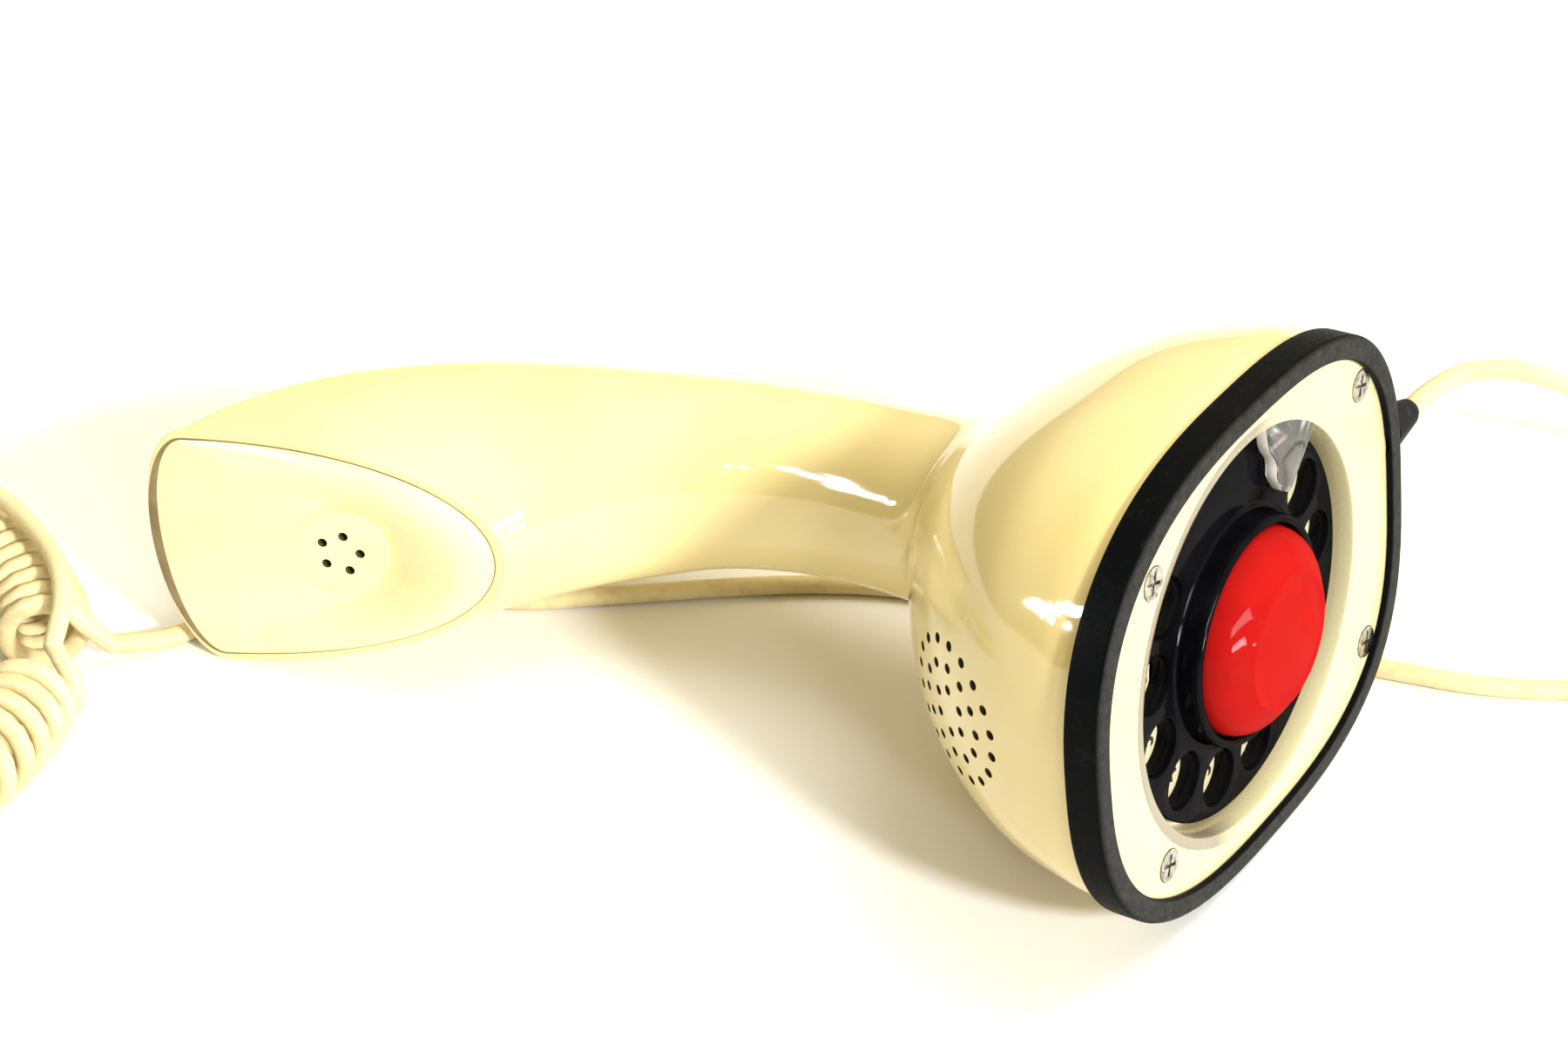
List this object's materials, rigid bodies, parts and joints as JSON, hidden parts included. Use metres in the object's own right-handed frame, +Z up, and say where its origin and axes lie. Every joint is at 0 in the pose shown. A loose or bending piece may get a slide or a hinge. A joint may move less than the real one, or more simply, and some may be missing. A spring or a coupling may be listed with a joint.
{
  "type": "rotary telephone",
  "caption": "One-piece upright telephone with a rotary dial and hook button in its base, lying on its side with its curly cord.",
  "frame": {"origin": "on the surface that the telephone lies on, under the middle of its own bounding box without the cord", "axes": "+X from the head towards the base and its dial, +Y to the side that the cord leaves from, +Z up from the surface; the telephone lies on its side"},
  "size_m": [0.3913, 0.3415, 0.0982],
  "materials": {
    "shell_ivory": "glossy, slightly yellowed",
    "cap_cream": "glossy",
    "dial_cream": "satin",
    "ring_rubber": "matte rubber",
    "dial_black": "glossy",
    "button_red": "glossy",
    "clear_plastic": "clear",
    "steel": "plain",
    "brass": "plain",
    "spring_steel": "plain",
    "contact_bronze": "plain",
    "fibre_brown": "matte",
    "inner_black": "matte",
    "board_green": "satin",
    "part_grey": "matte",
    "part_ochre": "satin",
    "cord_ivory": "satin, yellowed",
    "cord_dark": "matte"
  },
  "bodies": {
    "phone": {"shell": "shell_ivory", "ear_cap": "cap_cream", "receiver_gasket": "inner_black", "receiver_capsule": "steel", "receiver_holder": "inner_black", "microphone_capsule": "steel", "microphone_holder": "inner_black", "base_ring": "ring_rubber", "base_plate": "dial_cream", "base_screws": "steel", "screw_posts": "brass", "number_plate": "dial_cream", "main_spring": "spring_steel", "finger_stop": "clear_plastic", "dial_frame": "steel", "dial_pillars": "brass", "dial_back_plate": "steel", "dial_screws": "brass", "button_guide": "inner_black", "plunger_spring": "spring_steel", "hook_contacts": "contact_bronze", "governor_cup": "steel", "governor_bracket": "steel", "pulse_contacts": "contact_bronze", "circuit_board": "board_green", "board_posts": "brass", "transformer": "part_grey", "capacitor": "part_ochre", "cord_grommet": "cord_dark", "cord_lead": "cord_ivory", "cord_curl": "cord_ivory", "cord_tail": "cord_ivory", "cord_plug": "clear_plastic"},
    "dial": {"finger_wheel": "dial_black", "main_gear": "brass"},
    "pulse": {"pulse_shaft": "brass", "pulse_cam": "fibre_brown", "worm_wheel": "brass"},
    "governor": {"governor_worm": "steel", "governor_arms": "brass"},
    "hook": {"hook_button": "button_red", "plunger_rod": "steel"}
  },
  "joints": [
    {"name": "dial_spin", "type": "hinge", "parent": "phone", "child": "dial", "pos_m": [0.09545, 0.007, 0.04891], "axis": [-0.9924, 0, -0.1233], "range_deg": [0, 300], "stiffness_Nm_per_rad": 0.004, "springref_deg": -114.59},
    {"name": "pulse_spin", "type": "hinge", "parent": "phone", "child": "pulse", "pos_m": [0.08272, 0.04548, 0.04598], "axis": [-0.9924, 0, -0.1233], "range_deg": [-1800, 0]},
    {"name": "governor_spin", "type": "hinge", "parent": "phone", "child": "governor", "pos_m": [0.0787, 0.03398, 0.04588], "axis": [-0.1232, 0.0349, 0.9918], "range_deg": [0, 14400]},
    {"name": "hook_slide", "type": "slide", "parent": "phone", "child": "hook", "axis": [-0.9924, 0, -0.1233], "range_m": [0, 0.007], "stiffness_N_per_m": 150, "springref_m": -0.008, "deforming": ["plunger_spring"]}
  ],
  "couplings": [
    {"joint": "pulse_spin", "follows": "dial_spin", "ratio": -6},
    {"joint": "governor_spin", "follows": "dial_spin", "ratio": 48}
  ]
}
